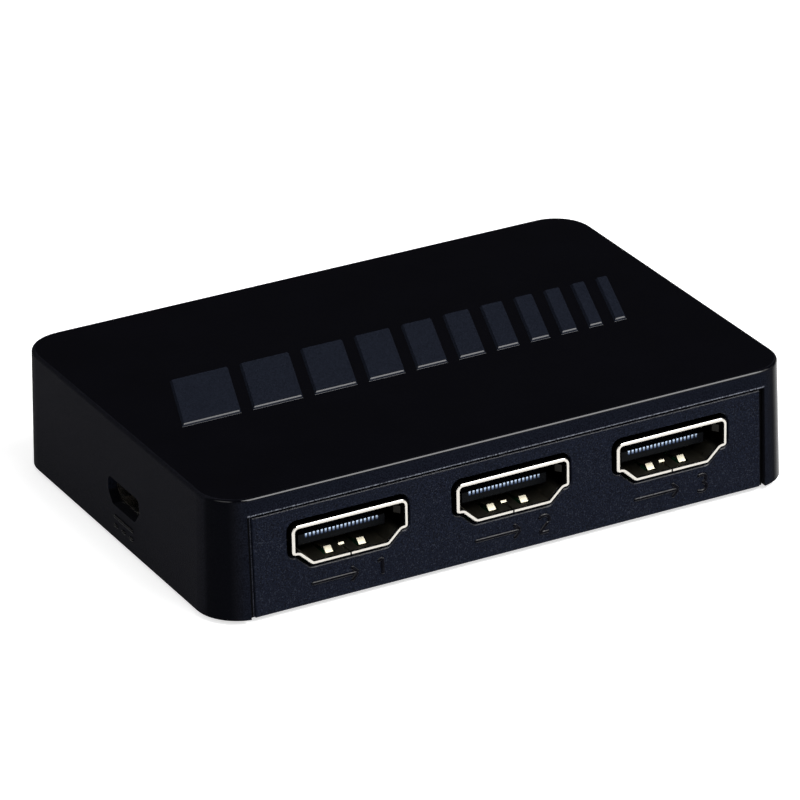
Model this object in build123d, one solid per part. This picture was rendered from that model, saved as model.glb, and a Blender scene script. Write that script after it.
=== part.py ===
from build123d import *
import math
import os

# A switch box that passes one of three video sources on to one screen, in millimetres.
# The origin is on the table at the middle of the footprint. +X runs along the row of three
# input sockets, which face -Y, and +Z is up.

# Case: outline at the roof, how far each wall's foot stands outside it, and the wall sections
case_width = 75.0
case_depth = 52.0
case_height = 14.8
case_corner_radius = 4.9
case_flare = 0.41
cover_wall = 1.6
cover_roof = 1.6
cover_edge_round = 0.45
tray_floor = 1.8
tray_gap = 0.15

# Front and rear panels: a face plate that stands proud of a slightly wider flange
corner_post = 4.47
panel_height = 12.25
panel_recess = 0.25
panel_face = 0.35
panel_flange = 1.1
panel_step = 0.42
panel_side_gap = 0.22
panel_top_gap = 0.3
edge_break = 0.1

# Raised ornament on the roof: a row of slanted bars, each narrower than the last
ornament_inset = 6.1
ornament_depth = 11.8
ornament_middle = 0.5
ornament_height = 0.3
ornament_gap = 1.5
ornament_lean = 4.2
ornament_bars = 11
ornament_width_share = 0.86
ornament_bevel_degrees = 40

# Feet, and the screws that hold the tray to the cover's bosses
foot_radius = 4.0
foot_height = 1.2
foot_proud = 0.6
foot_inset_x = 14.5
foot_inset_y = 7.5
boss_inset_x = 4.9
boss_inset_y = 5.4
boss_radius = 2.4
boss_rib = 0.9
pillar_radius = 2.6
screw_radius = 1.0
screw_head_radius = 1.75
screw_head_height = 1.2
screw_head_sink = 0.7
screw_grip = 1.5
screw_bite = 5.0
screw_gap = 0.2
thread_gap = 0.03
cross_width = 0.45
cross_length = 2.2
cross_depth = 0.6

# Main board, its standoffs and its own screws
board_thickness = 1.6
board_gap = 0.35
standoff_height = 1.1
standoff_radius = 2.2
board_screw_length = 3.0
board_screw_inset = 7.7
board_screw_y_share = 0.192
board_rib_height_gap = 0.1
board_rib = 1.0

# Video sockets: the shell's outline and sheet, and what share of the spare room between the
# case's bosses lies between two inputs
socket_space_share = 0.396
socket_proud = 0.4
socket_width = 14.7
socket_height = 5.25
socket_base_share = 0.66
socket_shoulder = 0.8
socket_shoulder_height = 1.6
socket_top_radius = 0.85
socket_side_radius = 0.45
socket_ogee_radius = 0.65
socket_sheet = 0.35
socket_lip = 0.07
socket_length = 11.3
socket_lift = 0.45
socket_seam = 0.2
socket_hole_gap = 0.45
output_x_share = -0.227

# Key that locks the shell's seam, pressed up inside the mouth
key_front = 2.3
key_width = 0.7
key_length = 0.9
key_rise = 0.2

# Spring fingers, stamped out of the shell and bent inwards, and the windows that they leave
finger_width = 0.9
finger_gap = 0.3
finger_tip = 1.28
finger_crest = 1.9
finger_root = 6.2
finger_lift = 0.6
finger_sheet_share = 0.67
finger_base_spread = 2.1
finger_side_height = 3.4

# Solder legs of the video sockets
leg_width = 1.2
leg_front = 3.7
leg_rear = 9.0
leg_stick = 0.4
leg_gap = 0.2

# Insulator and contacts of the video sockets
tongue_recess = 2.2
tongue_width = 11.0
tongue_thickness = 1.4
tongue_drop = 2.0
tongue_bevel = 0.2
insulator_block = 3.4
tail_window = 2.6
tail_room = 1.9
tail_setback = 0.5
tail_stagger = 0.7
contact_count = 19
contact_pitch = 0.5
contact_width = 0.26
contact_thickness = 0.18
contact_nose = 0.5

# Power socket in the left wall
power_y = -2.3
power_recess = 0.9
power_width = 7.5
power_height = 2.6
power_chamfer_width = 1.0
power_chamfer_height = 1.2
power_top_radius = 0.4
power_sheet = 0.25
power_length = 5.2
power_hole_gap = 0.3
power_tongue_recess = 0.9
power_tongue_width = 3.8
power_tongue_thickness = 0.6
power_tongue_drop = 0.55
power_block = 1.5
power_contact_count = 5
power_contact_pitch = 0.65
power_contact_width = 0.3
power_contact_thickness = 0.12
power_leg_width = 1.1
power_leg_rear = 3.4

# Select button in the rear panel and the push switch behind it
button_x_share = 0.333
button_rise = 3.05
button_radius = 2.2
button_proud = 0.4
button_round = 0.3
button_gap = 0.15
button_flange_radius = 2.65
button_flange = 0.8
button_clearance = 0.1
button_stem_radius = 1.2
button_stem = 1.2
switch_width = 6.0
switch_depth = 3.4
switch_cover_plate = 0.3
switch_plunger_radius = 1.1
switch_plunger_proud = 1.0
switch_shoulder_radius = 1.6
switch_shoulder = 0.5
switch_pocket_radius = 1.9
switch_clearance = 0.05
dome_rise = 0.45
dome_sheet = 0.08
terminal_width = 0.7
terminal_sheet = 0.25
terminal_spread = 2.25

# Indicator lamps and the clear guide that leads them through the rear panel
lamp_x_share = 0.106
lamp_count = 3
lamp_pitch = 5.0
guide_radius = 0.95
guide_gap = 0.1
guide_proud = 0.15
guide_reach = 5.0
guide_bar = 1.2
guide_peg = 1.0
lamp_length = 1.6
lamp_width = 1.0
lamp_height = 0.6
lamp_gap = 0.3

# Chips and small parts on the board
switch_chip_x_share = 0.106
switch_chip_y = -1.0
switch_chip_size = 10.0
switch_chip_height = 1.4
switch_chip_legs = 11
chip_leg_pitch = 0.8
chip_leg_width = 0.35
chip_leg_sheet = 0.12
chip_leg_reach = 1.0
control_chip_reach = 14.0
control_chip_y = 3.0
control_chip_length = 8.6
control_chip_width = 3.9
control_chip_height = 1.4
control_chip_legs = 7
control_leg_pitch = 1.27
control_leg_width = 0.4
regulator_inset = 12.0
regulator_y = -3.0
regulator_length = 6.5
regulator_width = 3.5
regulator_height = 1.6
regulator_legs = 3
regulator_leg_pitch = 2.3
regulator_leg_width = 0.7
regulator_tab_width = 3.0
chip_draft_degrees = 7
surge_length = 2.5
surge_width = 1.0
surge_height = 0.5
surge_spread = 3.0
surge_setback = 1.6
capacitor_length = 1.6
capacitor_width = 0.8
capacitor_end = 0.35
capacitor_waist = 0.05
resistor_length = 1.0
resistor_width = 0.5
resistor_height = 0.35
small_part_ring = 3.0

# Moulded ribs under the roof that hold the sockets down
hold_rib = 1.2
hold_rib_gap = 0.15
hold_rib_setback = 5.5

overrun = 0.5

# Heights above the table, from the sizes above
base_z = foot_proud
top_z = base_z + case_height
roof_z = top_z - cover_roof
floor_z = base_z + tray_floor
board_bottom = floor_z + standoff_height
board_top = board_bottom + board_thickness
panel_top = base_z + panel_height
panel_width = case_width - 2 * corner_post
header_z = panel_top + panel_top_gap
panel_thickness = panel_face + panel_flange
counterbore_depth = screw_head_height + screw_head_sink
pillar_top = base_z + counterbore_depth + screw_grip
socket_middle_z = board_top + socket_lift + socket_height / 2
button_z = board_top + button_rise
boss_places = [
    (side * (case_width / 2 - boss_inset_x), end * (case_depth / 2 - boss_inset_y))
    for side in (-1, 1)
    for end in (-1, 1)
]
foot_places = [
    (side * (case_width / 2 - foot_inset_x), end * (case_depth / 2 - foot_inset_y))
    for side in (-1, 1)
    for end in (-1, 1)
]
board_screw_places = [
    (side * (case_width / 2 - board_screw_inset), case_depth * board_screw_y_share)
    for side in (-1, 1)
]
socket_room = case_width - 2 * (boss_inset_x + pillar_radius)
socket_pitch = socket_width + socket_space_share * (socket_room - 3 * socket_width)
socket_base_width = socket_width * socket_base_share
output_x = output_x_share * panel_width
button_x = button_x_share * panel_width
lamp_x = lamp_x_share * panel_width
switch_chip_x = switch_chip_x_share * panel_width
control_chip_x = switch_chip_x + control_chip_reach
regulator_x = regulator_inset - case_width / 2


def flare_at(height):
    """How far the case wall stands outside the roof's outline at one height."""
    return case_flare * (top_z - height) / case_height


def panel_distance(inset, height):
    """Distance from the middle of the case to a panel's face, or to a plane inset behind it."""
    return case_depth / 2 + flare_at(height) - panel_recess - inset


mouth_distance = panel_distance(0, socket_middle_z) + socket_proud
power_mouth = case_width / 2 + flare_at(board_top + power_height / 2) - power_recess
board_half_width = case_width / 2 + flare_at(board_top) - cover_wall - board_gap
board_half_depth = panel_distance(panel_thickness, board_top) - board_gap


def case_form(inset, low, high):
    """Solid inside the case's outer wall moved in by one distance, between two heights."""
    sections = []
    for height in (low, high):
        grow = flare_at(height) - inset
        outline = RectangleRounded(
            case_width + 2 * grow, case_depth + 2 * grow, case_corner_radius + grow
        )
        sections.append((Plane.XY.offset(height) * outline).face())
    return loft(sections, ruled=True)


def block(x_range, y_range, z_range):
    """Plain block between two limits along each axis."""
    low = (x_range[0], y_range[0], z_range[0])
    high = (x_range[1], y_range[1], z_range[1])
    size = [b - a for a, b in zip(low, high)]
    return Pos(*low) * Box(*size, align=(Align.MIN, Align.MIN, Align.MIN))


def side_profile(points, width):
    """Solid whose outline of (y, z) points is carried along X, equally to both sides."""
    outline = make_face(Polyline(*points, close=True))
    return extrude(Plane.YZ * outline, amount=width / 2, both=True)


def turned(points):
    """Solid of revolution about Z, from an outline of (radius, height) points."""
    outline = make_face(Polyline(*points, close=True))
    return revolve(Plane.XZ * outline, axis=Axis.Z)


def rod(radius, low, high):
    """Round bar about Z between two heights."""
    return Pos(0, 0, low) * Cylinder(
        radius, high - low, align=(Align.CENTER, Align.CENTER, Align.MIN)
    )


def strip_outline(points, thickness):
    """Closed outline of a strip of sheet that follows points, with mitred bends."""
    spots = [Vector(*point) for point in points]
    runs = [(b - a).normalized() for a, b in zip(spots, spots[1:])]
    normals = [Vector(-run.Y, run.X) for run in runs]
    sides = []
    for side in (1, -1):
        row = []
        for index, spot in enumerate(spots):
            first = normals[max(index - 1, 0)]
            second = normals[min(index, len(runs) - 1)]
            middle = (first + second).normalized()
            reach = thickness / 2 / middle.dot(first)
            row.append(spot + middle * (side * reach))
        sides.append(row)
    return [(spot.X, spot.Y) for spot in sides[0] + sides[1][::-1]]


def bent_strip(points, thickness, width):
    """Strip of sheet metal whose middle line follows (y, z) points, centred on X."""
    return side_profile(strip_outline(points, thickness), width)


def at_places(places, shape):
    """One copy of a shape at each (x, y) place."""
    return [Pos(x, y, 0) * shape for x, y in places]


def place_input(index, shape):
    """Move a shape from a video socket's own frame to one input socket's place."""
    return Pos((index - 1) * socket_pitch, -mouth_distance, board_top) * shape


def place_output(shape):
    """Move a shape from a video socket's own frame to the output socket's place."""
    return Pos(output_x, mouth_distance, board_top) * Rot(0, 0, 180) * shape


def place_power(shape):
    """Move a shape from the power socket's own frame into the left wall."""
    return Pos(-power_mouth, power_y, board_top) * Rot(0, 0, -90) * shape


def place_button(shape):
    """Move a shape turned about Z so that its axis is the select button's, along +Y."""
    frame = Plane(origin=(button_x, 0, button_z), x_dir=(1, 0, 0), z_dir=(0, 1, 0))
    return frame.location * shape


def grown_outline(right_half, radii, grow):
    """Closed outline, alike on both sides of x = 0, moved out by one distance and rounded."""
    points = right_half + [(-x, z) for x, z in right_half[::-1]]
    spots = [Vector(*point) for point in points]
    corners = []
    for index, spot in enumerate(spots):
        before = (spot - spots[index - 1]).normalized()
        after = (spots[(index + 1) % len(spots)] - spot).normalized()
        first = Vector(before.Y, -before.X)
        middle = (first + Vector(after.Y, -after.X)).normalized()
        corners.append(spot + middle * (grow / middle.dot(first)))
    outline = make_face(Polyline(*[(corner.X, corner.Y) for corner in corners], close=True))
    for corner, radius in zip(corners, radii + radii[::-1]):
        if radius > 0:
            outline = fillet(outline.vertices().sort_by_distance(corner)[0], radius)
    return outline


def socket_outline(grow, radii):
    """Front outline of a video socket grown by one distance, with four corner radii from below."""
    half = socket_width / 2
    right_half = [
        (socket_base_width / 2, 0),
        (half - socket_shoulder, socket_shoulder_height),
        (half, socket_shoulder_height),
        (half, socket_height),
    ]
    return Plane.XZ * Pos(0, socket_lift) * grown_outline(right_half, radii, grow)


def socket_form(grow):
    """Front outline of a video socket's shell, grown all round by one distance."""
    ogee = socket_ogee_radius
    radii = [ogee + grow, ogee - grow, socket_side_radius + grow, socket_top_radius + grow]
    return socket_outline(grow, radii)


def socket_cutter():
    """Cutter for a video socket's hole in its panel, in the socket's own frame."""
    reach = socket_proud + panel_thickness + overrun
    return extrude(socket_form(socket_hole_gap), amount=reach, both=True)


def power_outline(grow):
    """Front outline of the power socket's shell, grown all round by one distance."""
    half = power_width / 2
    right_half = [
        (half - power_chamfer_width, 0),
        (half, power_chamfer_height),
        (half, power_height),
    ]
    radius = power_top_radius + grow
    return Plane.XZ * grown_outline(right_half, [radius, radius, radius], grow)


def front_opening():
    """Cutter for the cover's opening at the front, with the header's lower edge broken."""
    wall = case_depth / 2 + flare_at(header_z)
    inner = case_depth / 2 - cover_wall - overrun
    width = panel_width + 2 * (panel_step + panel_side_gap)
    points = [
        (-wall - overrun, base_z - overrun),
        (-wall - overrun, header_z + edge_break + overrun),
        (-wall + edge_break, header_z),
        (-inner, header_z),
        (-inner, base_z - overrun),
    ]
    return side_profile(points, width)


def ornament():
    """Row of slanted bars with bevelled sides, raised from the roof and narrowing to the right."""
    left = ornament_inset - case_width / 2
    bar_room = -2 * left - ornament_lean - (ornament_bars - 1) * ornament_gap
    series = sum(ornament_width_share**index for index in range(ornament_bars))
    low = ornament_middle - ornament_depth / 2
    high = ornament_middle + ornament_depth / 2
    bars = []
    for index in range(ornament_bars):
        width = bar_room / series * ornament_width_share**index
        points = [
            (left, low),
            (left + width, low),
            (left + width + ornament_lean, high),
            (left + ornament_lean, high),
        ]
        foot = Plane.XY.offset(top_z) * make_face(Polyline(*points, close=True))
        bars.append(extrude(foot, amount=ornament_height, taper=ornament_bevel_degrees))
        left += width + ornament_gap
    return bars


def top_cover():
    """Roof with both short walls and the four corner posts, screw bosses and hold-down ribs."""
    shell = case_form(0, base_z, top_z)
    shell = fillet(shell.faces().sort_by(Axis.Z)[-1].edges(), cover_edge_round)
    shell -= case_form(cover_wall, base_z - overrun, roof_z)
    opening = front_opening()
    shell -= opening
    shell -= Rot(0, 0, 180) * opening
    slot = extrude(power_outline(power_hole_gap), amount=cover_wall + overrun, both=True)
    shell -= place_power(slot)
    room = case_form(cover_wall - overrun, pillar_top, roof_z + overrun)
    for x, y in boss_places:
        shell += Pos(x, y, 0) * rod(boss_radius, pillar_top, roof_z + cover_roof / 2)
        reach = case_width / 2 - abs(x)
        rib_x = sorted((x, x + math.copysign(reach, x)))
        rib_y = (y - boss_rib / 2, y + boss_rib / 2)
        shell += block(rib_x, rib_y, (pillar_top, roof_z + cover_roof / 2)) & room
        hole = rod(screw_radius + thread_gap, pillar_top - overrun, pillar_top + screw_bite + screw_gap)
        shell -= Pos(x, y, 0) * hole
    socket_top = board_top + socket_lift + socket_height
    rib_z = (socket_top + hold_rib_gap, roof_z + cover_roof / 2)
    rib_y = mouth_distance - hold_rib_setback
    row_end = socket_pitch + socket_width / 4
    shell += block((-row_end, row_end), (-rib_y - hold_rib / 2, -rib_y + hold_rib / 2), rib_z)
    rib_x = (output_x - socket_width / 2, output_x + socket_width / 2)
    shell += block(rib_x, (rib_y - hold_rib / 2, rib_y + hold_rib / 2), rib_z)
    for bar in ornament():
        shell += bar
    return shell


def panel_plate(holes, holes_broken):
    """Front panel: face plate on its wider flange, cut by holes, with its front edges broken."""

    def slab(width, outer, inner, high):
        points = [
            (-panel_distance(outer, base_z), base_z),
            (-panel_distance(outer, high), high),
            (-panel_distance(inner, high), high),
            (-panel_distance(inner, base_z), base_z),
        ]
        return side_profile(points, width)

    plate = slab(panel_width, 0, panel_thickness, panel_top)
    flange_width = panel_width + 2 * panel_step
    plate += slab(flange_width, panel_face, panel_thickness, panel_top)
    plate += slab(flange_width, panel_face, panel_thickness + cover_wall + tray_gap, floor_z)
    for hole in holes:
        plate -= hole
    face = plate.faces().sort_by(Axis.Y)[0]
    return chamfer(face.edges() if holes_broken else face.outer_wire().edges(), edge_break)


def front_holes():
    """Cutters for the three input sockets."""
    return [place_input(index, socket_cutter()) for index in range(3)]


def rear_holes():
    """Cutters for the output socket, the button and the light guide, turned to the front."""
    inner = panel_distance(panel_thickness, top_z) - overrun
    outer = panel_distance(0, base_z) + overrun
    holes = [
        place_output(socket_cutter()),
        place_button(rod(button_radius + button_gap, inner, outer)),
    ]
    for x in lamp_places():
        bore = rod(guide_radius + guide_gap, inner, outer)
        holes.append(Pos(x - button_x, 0, 0) * place_button(bore))
    return [Rot(0, 0, 180) * hole for hole in holes]


def bottom_tray():
    """Floor inside the cover's foot, both panels, screw pillars, standoffs and board ribs."""
    tray = case_form(cover_wall + tray_gap, base_z, floor_z)
    tray += panel_plate(front_holes(), True)
    tray += Rot(0, 0, 180) * panel_plate(rear_holes(), False)
    for x, y in boss_places:
        tray += Pos(x, y, 0) * rod(pillar_radius, floor_z - tray_floor / 2, pillar_top)
    for x, y in board_screw_places:
        tray += Pos(x, y, 0) * rod(standoff_radius, floor_z - tray_floor / 2, board_bottom)
    rib_y = mouth_distance - hold_rib_setback
    rib_z = (floor_z - tray_floor / 2, board_bottom - board_rib_height_gap)
    for side in (-1, 1):
        x = side * socket_pitch / 2
        rib_reach = sorted((-rib_y, rib_y))
        tray += block((x - board_rib / 2, x + board_rib / 2), rib_reach, rib_z)
    for x, y in boss_places:
        counterbore = rod(screw_head_radius + screw_gap, base_z - overrun, base_z + counterbore_depth)
        passage = rod(screw_radius + screw_gap, base_z, pillar_top + overrun)
        tray -= Pos(x, y, 0) * counterbore
        tray -= Pos(x, y, 0) * passage
    for x, y in foot_places:
        tray -= Pos(x, y, 0) * rod(foot_radius, base_z - overrun, foot_height)
    for x, y in board_screw_places:
        pilot_depth = board_screw_length - board_thickness + screw_gap
        pilot = rod(screw_radius + thread_gap, board_bottom - pilot_depth, board_bottom + overrun)
        tray -= Pos(x, y, 0) * pilot
    return tray


def screw(head_z, length, upwards):
    """Pan-head screw on Z with a cross recess, its head's seat at head_z."""
    rim = screw_head_height / 3
    crown = screw_head_radius * 2 / 3
    points = [
        (0, -length),
        (screw_radius, -length),
        (screw_radius, 0),
        (screw_head_radius, 0),
        (screw_head_radius, rim),
        (crown, screw_head_height),
        (0, screw_head_height),
    ]
    body = turned(points)
    half = cross_length / 2
    recess = (screw_head_height - cross_depth, screw_head_height + overrun)
    body -= block((-half, half), (-cross_width / 2, cross_width / 2), recess)
    body -= block((-cross_width / 2, cross_width / 2), (-half, half), recess)
    if upwards:
        body = Rot(180, 0, 0) * body
    return Pos(0, 0, head_z) * body


def case_screws():
    """Four screws from below, through the tray's pillars into the cover's bosses."""
    one = screw(base_z + counterbore_depth, screw_grip + screw_bite, True)
    return at_places(boss_places, one)


def board_screws():
    """Two screws from above, through the board into the tray's standoffs."""
    one = screw(board_top, board_screw_length, False)
    return at_places(board_screw_places, one)


def rubber_feet():
    """Four round feet with a bevelled edge, seated in the tray's recesses."""
    bevel = foot_proud / 2
    points = [
        (0, 0),
        (foot_radius - bevel, 0),
        (foot_radius, bevel),
        (foot_radius, foot_height),
        (0, foot_height),
    ]
    return at_places(foot_places, turned(points))


def leg_blocks(grow):
    """The four solder legs of a video socket in its own frame, grown by one distance."""
    low = -board_thickness - leg_stick
    high = socket_lift + socket_shoulder_height + socket_side_radius
    blocks = []
    for side in (-1, 1):
        for y in (leg_front, leg_rear):
            outer = side * (socket_width / 2 + grow)
            inner = side * (socket_width / 2 - socket_sheet - grow)
            y_range = (y - leg_width / 2 - grow, y + leg_width / 2 + grow)
            blocks.append(block(sorted((outer, inner)), y_range, (low, high)))
    return blocks


def power_leg_blocks(grow):
    """The two solder legs of the power socket in its own frame, grown by one distance."""
    y_range = (power_leg_rear - power_leg_width - grow, power_leg_rear + grow)
    blocks = []
    for side in (-1, 1):
        outer = side * (power_width / 2 + grow)
        inner = side * (power_width / 2 - power_sheet - grow)
        low = -board_thickness - leg_stick
        blocks.append(block(sorted((outer, inner)), y_range, (low, power_height / 2)))
    return blocks


def main_board():
    """Circuit board notched round the corner pillars, with holes for legs and screws."""
    x, y = board_half_width, board_half_depth
    board = block((-x, x), (-y, y), (board_bottom, board_top))
    notch = pillar_radius + board_gap
    z_range = (board_bottom - overrun, board_top + overrun)
    for boss_x, boss_y in boss_places:
        near_x = boss_x - math.copysign(notch, boss_x)
        near_y = boss_y - math.copysign(notch, boss_y)
        x_range = sorted((near_x, math.copysign(x + overrun, boss_x)))
        y_range = sorted((near_y, math.copysign(y + overrun, boss_y)))
        board -= block(x_range, y_range, z_range)
    for leg in leg_blocks(leg_gap):
        for index in range(3):
            board -= place_input(index, leg)
        board -= place_output(leg)
    for leg in power_leg_blocks(leg_gap):
        board -= place_power(leg)
    for place in board_screw_places:
        board -= Pos(*place, 0) * rod(screw_radius + screw_gap, *z_range)
    for terminal in switch_terminals(leg_gap):
        board -= terminal
    return board


def finger(reach):
    """Spring finger in the YZ plane: a strip that rises from the sheet at z = 0 to its crest."""
    points = [
        (finger_root + reach, 0),
        (finger_root, 0),
        (finger_crest, finger_lift),
        (finger_tip, socket_sheet / 4),
    ]
    return bent_strip(points, socket_sheet * finger_sheet_share, finger_width)


def finger_window():
    """Cutter for the window that a spring finger leaves in the sheet."""
    half = finger_width / 2 + finger_gap
    return block((-half, half), (finger_tip - finger_gap, finger_root), (-socket_sheet, socket_sheet))


def finger_frames():
    """Where the four fingers sit on a video socket's shell: on its base and on its sides."""
    sheet_middle = socket_sheet / 2
    low = socket_lift + sheet_middle
    side_z = socket_lift + finger_side_height
    wall = socket_width / 2 - sheet_middle
    frames = []
    for side in (-1, 1):
        frames.append(Pos(side * finger_base_spread, 0, low))
        frames.append(Pos(side * wall, 0, side_z) * Rot(0, -90 * side, 0))
    return frames


def seam_key():
    """Key pressed up across the seam on the shell's base, with a ramp at each end."""
    wall = socket_lift + socket_sheet
    points = [
        (key_front, socket_lift),
        (key_front, wall),
        (key_front + key_rise, wall + key_rise),
        (key_front + key_length - key_rise, wall + key_rise),
        (key_front + key_length, wall),
        (key_front + key_length, socket_lift),
    ]
    return side_profile(points, key_width)


def video_shell():
    """Stamped shell: a folded D-shaped tube with a keyed seam, a back wall, fingers and legs."""
    outer = socket_form(0)
    inner = socket_form(-socket_sheet)
    shell = extrude(outer, amount=-socket_length)
    shell -= extrude(inner, amount=-(socket_length - socket_sheet))
    shell -= extrude(inner, amount=overrun)
    front = shell.faces().sort_by(Axis.Y)[0]
    shell = chamfer(front.outer_wire().edges(), socket_lip)
    frames = finger_frames()
    for frame in frames:
        shell -= frame * finger_window()
    for frame in frames:
        shell += frame * finger(socket_sheet)
    for leg in leg_blocks(0):
        shell += leg
    half = contact_pitch * contact_count / 2 + leg_gap
    window_y = (socket_length - socket_sheet - tail_window, socket_length + overrun)
    shell -= block((-half, half), window_y, (0, socket_lift + socket_shoulder_height))
    seam = socket_seam / 2
    seam_z = (0, socket_lift + 2 * socket_sheet)
    shell -= block((-seam, seam), (-overrun, window_y[0] + overrun), seam_z)
    return shell + seam_key()


def contact_lines():
    """Middle line of each of the 19 contacts in (y, z), with its place along X."""
    tongue_top = socket_lift + socket_height - socket_sheet - tongue_drop
    run = tongue_top - contact_thickness / 2
    nose = tongue_recess + contact_thickness / 2
    first = -contact_pitch * (contact_count - 1) / 2
    lines = []
    for index in range(contact_count):
        tail = socket_length - socket_sheet - tail_setback - index % 2 * tail_stagger
        line = [(nose, tongue_top - contact_nose), (nose, run), (tail, run), (tail, 0)]
        lines.append((first + index * contact_pitch, line))
    return lines


def video_contacts():
    """Nineteen contacts that hook over the tongue's nose, with their tails in two rows."""
    return [
        Pos(x, 0, 0) * bent_strip(line, contact_thickness, contact_width)
        for x, line in contact_lines()
    ]


def video_insulator(contacts):
    """Moulded block across the shell with the tongue, a foot pad and exact channels."""
    rear = socket_length - socket_sheet
    block_front = rear - insulator_block
    block_rear = rear - tail_room
    top = socket_lift + socket_height - socket_sheet - tongue_drop
    low = top - tongue_thickness
    body = extrude(socket_form(-socket_sheet), amount=-rear)
    body &= block((-socket_width, socket_width), (block_front, block_rear), (0, 2 * socket_height))
    points = [
        (block_front + overrun, low),
        (tongue_recess + tongue_bevel, low),
        (tongue_recess, low + tongue_bevel),
        (tongue_recess, top),
        (block_front + overrun, top),
    ]
    body += side_profile(points, tongue_width)
    half = socket_base_width / 2 - socket_sheet
    neck = (rear - tail_window, block_rear)
    body += block((-half, half), neck, (0, socket_lift + 2 * socket_sheet))
    body += block((-half, half), (finger_root + finger_gap, block_rear), (0, socket_lift))
    for contact in contacts:
        body -= contact
    return body


def power_shell():
    """Stamped shell of the power socket with a back wall and two legs into the board's edge."""
    shell = extrude(power_outline(0), amount=-power_length)
    inner = power_outline(-power_sheet)
    shell -= extrude(inner, amount=-(power_length - power_sheet))
    shell -= extrude(inner, amount=overrun)
    for leg in power_leg_blocks(0):
        shell += leg
    return shell


def power_contact_line():
    """Middle line of one power contact: under the tongue, through the block and to the board."""
    half = power_contact_thickness / 2
    tongue_low = power_height - power_sheet - power_tongue_drop - power_tongue_thickness
    nose = power_tongue_recess + power_contact_pitch
    return [(nose, tongue_low + half), (power_length - power_sheet, tongue_low + half)]


def power_contacts():
    """Five contacts let into the underside of the power socket's tongue."""
    one = bent_strip(power_contact_line(), power_contact_thickness, power_contact_width)
    first = -power_contact_pitch * (power_contact_count - 1) / 2
    places = [(first + index * power_contact_pitch, 0) for index in range(power_contact_count)]
    return at_places(places, one)


def power_insulator(contacts):
    """Moulded block at the back of the power socket with its tongue and exact channels."""
    rear = power_length - power_sheet
    block_front = rear - power_block
    body = extrude(power_outline(-power_sheet), amount=-rear)
    body &= block((-power_width, power_width), (block_front, rear), (0, power_height))
    top = power_height - power_sheet - power_tongue_drop
    half = power_tongue_width / 2
    y_range = (power_tongue_recess, block_front + overrun)
    body += block((-half, half), y_range, (top - power_tongue_thickness, top))
    for contact in contacts:
        body -= contact
    return body


def button_levels():
    """Stations along +Y of the button, from the switch's plunger out to the cap's face."""
    flange_front = panel_distance(panel_thickness, button_z + button_flange_radius) - button_clearance
    flange_rear = flange_front - button_flange
    plunger_tip = flange_rear - button_stem
    face = panel_distance(0, button_z) + button_proud
    return plunger_tip, flange_rear, flange_front, face


def select_button():
    """Round cap with a rounded face, a retaining flange behind the panel and a stem."""
    plunger_tip, flange_rear, flange_front, face = button_levels()
    points = [
        (0, plunger_tip),
        (button_stem_radius, plunger_tip),
        (button_stem_radius, flange_rear),
        (button_flange_radius, flange_rear),
        (button_flange_radius, flange_front),
        (button_radius, flange_front),
        (button_radius, face),
        (0, face),
    ]
    body = turned(points)
    body = fillet(body.edges().group_by(Axis.Z)[-1], button_round)
    return place_button(body)


def switch_levels():
    """Stations along +Y of the push switch: back, front, and its plunger's shoulder."""
    front = button_levels()[0] - switch_plunger_proud
    shoulder_front = front - switch_cover_plate - switch_clearance
    shoulder_rear = shoulder_front - switch_shoulder
    pocket_floor = shoulder_rear - switch_clearance - dome_rise
    return front - switch_depth, pocket_floor, shoulder_rear, shoulder_front, front


def switch_body():
    """Moulded body of the push switch with a round pocket for the dome and the plunger."""
    levels = switch_levels()
    half = switch_width / 2
    x_range = (button_x - half, button_x + half)
    y_range = (levels[0], levels[-1] - switch_cover_plate)
    body = block(x_range, y_range, (board_top, board_top + 2 * button_rise))
    body -= place_button(rod(switch_pocket_radius, levels[1], levels[-1] + overrun))
    for terminal in switch_terminals(0):
        body -= terminal
    return body


def switch_cover():
    """Steel plate over the push switch's face, with the hole that guides the plunger."""
    front = switch_levels()[-1]
    half = switch_width / 2
    x_range = (button_x - half, button_x + half)
    y_range = (front - switch_cover_plate, front)
    plate = block(x_range, y_range, (board_top, board_top + 2 * button_rise))
    hole = rod(switch_plunger_radius + switch_clearance, y_range[0] - overrun, front + overrun)
    return plate - place_button(hole)


def switch_plunger():
    """Plunger whose shoulder is held behind the cover plate and whose tip meets the button."""
    shoulder_rear, shoulder_front = switch_levels()[2:4]
    tip = button_levels()[0]
    points = [
        (0, shoulder_rear),
        (switch_shoulder_radius, shoulder_rear),
        (switch_shoulder_radius, shoulder_front),
        (switch_plunger_radius, shoulder_front),
        (switch_plunger_radius, tip),
        (0, tip),
    ]
    return place_button(turned(points))


def switch_dome():
    """Snap dome: a thin spherical cap that stands on the pocket's floor."""
    pocket_floor = switch_levels()[1]
    rim = switch_pocket_radius - switch_clearance
    ball = (rim**2 + dome_rise**2) / (2 * dome_rise)
    cap = Sphere(ball) - Sphere(ball - dome_sheet)
    cap &= rod(rim, ball - dome_rise, ball + overrun)
    return place_button(Pos(0, 0, pocket_floor + dome_rise - ball) * cap)


def switch_terminals(grow):
    """Two terminals that leave the push switch's body downwards and pass through the board."""
    back = switch_levels()[0]
    y = back + switch_depth / 4
    half_width = terminal_width / 2 + grow
    half_sheet = terminal_sheet / 2 + grow
    low = board_bottom - leg_stick
    high = board_top + leg_width
    y_range = (y - half_sheet, y + half_sheet)
    places = [button_x + side * terminal_spread for side in (-1, 1)]
    return [block((x - half_width, x + half_width), y_range, (low, high)) for x in places]


def lamp_places():
    """X of each indicator lamp."""
    first = lamp_x - lamp_pitch * (lamp_count - 1) / 2
    return [first + index * lamp_pitch for index in range(lamp_count)]


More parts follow.
